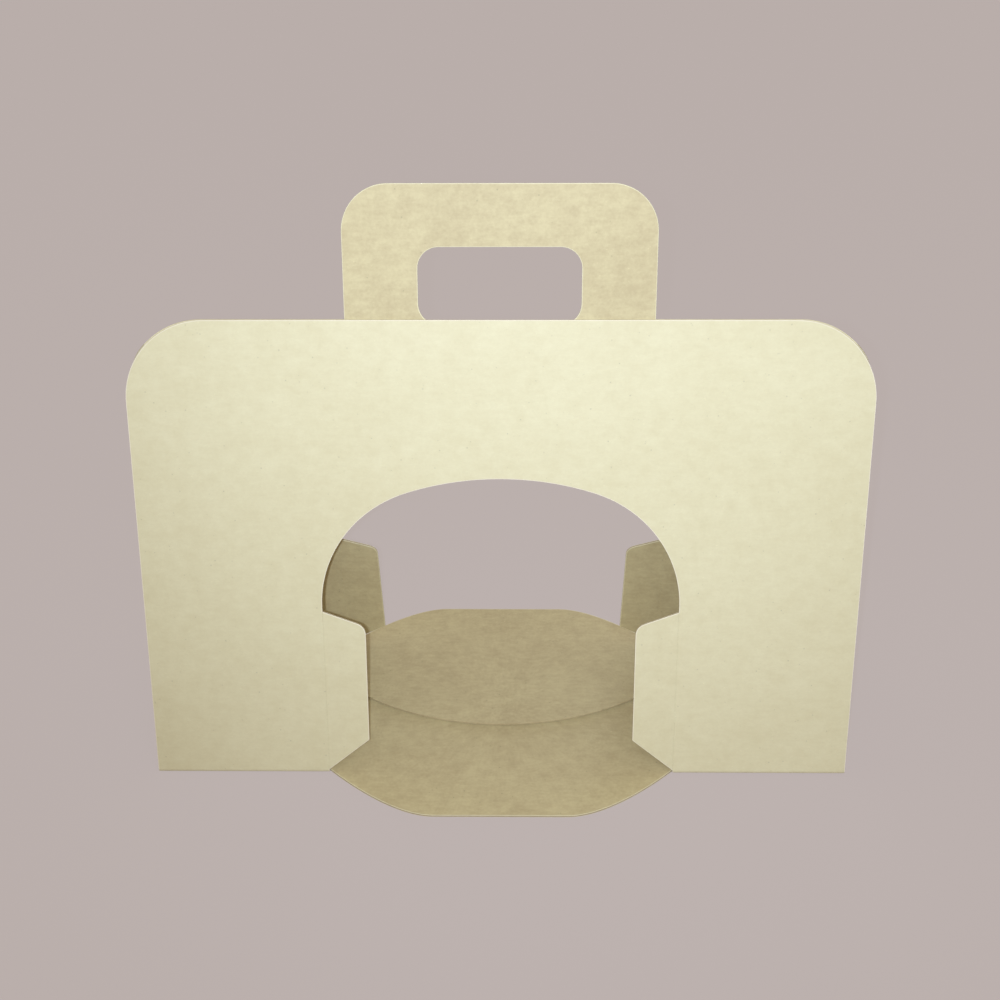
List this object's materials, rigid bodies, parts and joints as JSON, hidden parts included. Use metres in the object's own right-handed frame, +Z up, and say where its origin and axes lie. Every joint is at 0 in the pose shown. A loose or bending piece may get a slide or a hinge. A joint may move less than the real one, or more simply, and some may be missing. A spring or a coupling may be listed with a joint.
{
  "type": "easter cake carrier box",
  "caption": "Open tent-shaped carrier of folded kraft board for an Easter cake, with arched windows, creased ear flaps, lips and a hand hole in its upright handle.",
  "frame": {"origin": "centre of the base's underside, on the surface the carrier stands on", "axes": "+X along the width towards the viewer's right, +Y towards the rear wall, +Z up; the front wall faces -Y"},
  "size_m": [0.36, 0.175, 0.2957],
  "materials": {
    "kraft_board": "matt natural kraft liner over thin fluting"
  },
  "bodies": {
    "carrier": {"front_blank": "kraft_board", "rear_blank": "kraft_board"},
    "front_left_ear": {"front_left_ear_flap": "kraft_board"},
    "front_right_ear": {"front_right_ear_flap": "kraft_board"},
    "rear_left_ear": {"rear_left_ear_flap": "kraft_board"},
    "rear_right_ear": {"rear_right_ear_flap": "kraft_board"}
  },
  "joints": [
    {"name": "front_left_ear_crease", "type": "hinge", "parent": "carrier", "child": "front_left_ear", "pos_m": [-0.08985, -0.0446, 0.04355], "axis": [0, 0.2274, 0.9738], "range_deg": [0, 90]},
    {"name": "front_right_ear_crease", "type": "hinge", "parent": "carrier", "child": "front_right_ear", "pos_m": [0.08985, -0.0446, 0.04355], "axis": [0, -0.2274, -0.9738], "range_deg": [0, 90]},
    {"name": "rear_left_ear_crease", "type": "hinge", "parent": "carrier", "child": "rear_left_ear", "pos_m": [-0.08985, 0.04355, 0.04476], "axis": [0, 0.2508, -0.968], "range_deg": [0, 90]},
    {"name": "rear_right_ear_crease", "type": "hinge", "parent": "carrier", "child": "rear_right_ear", "pos_m": [0.08985, 0.04355, 0.04476], "axis": [0, -0.2508, 0.968], "range_deg": [0, 90]}
  ]
}
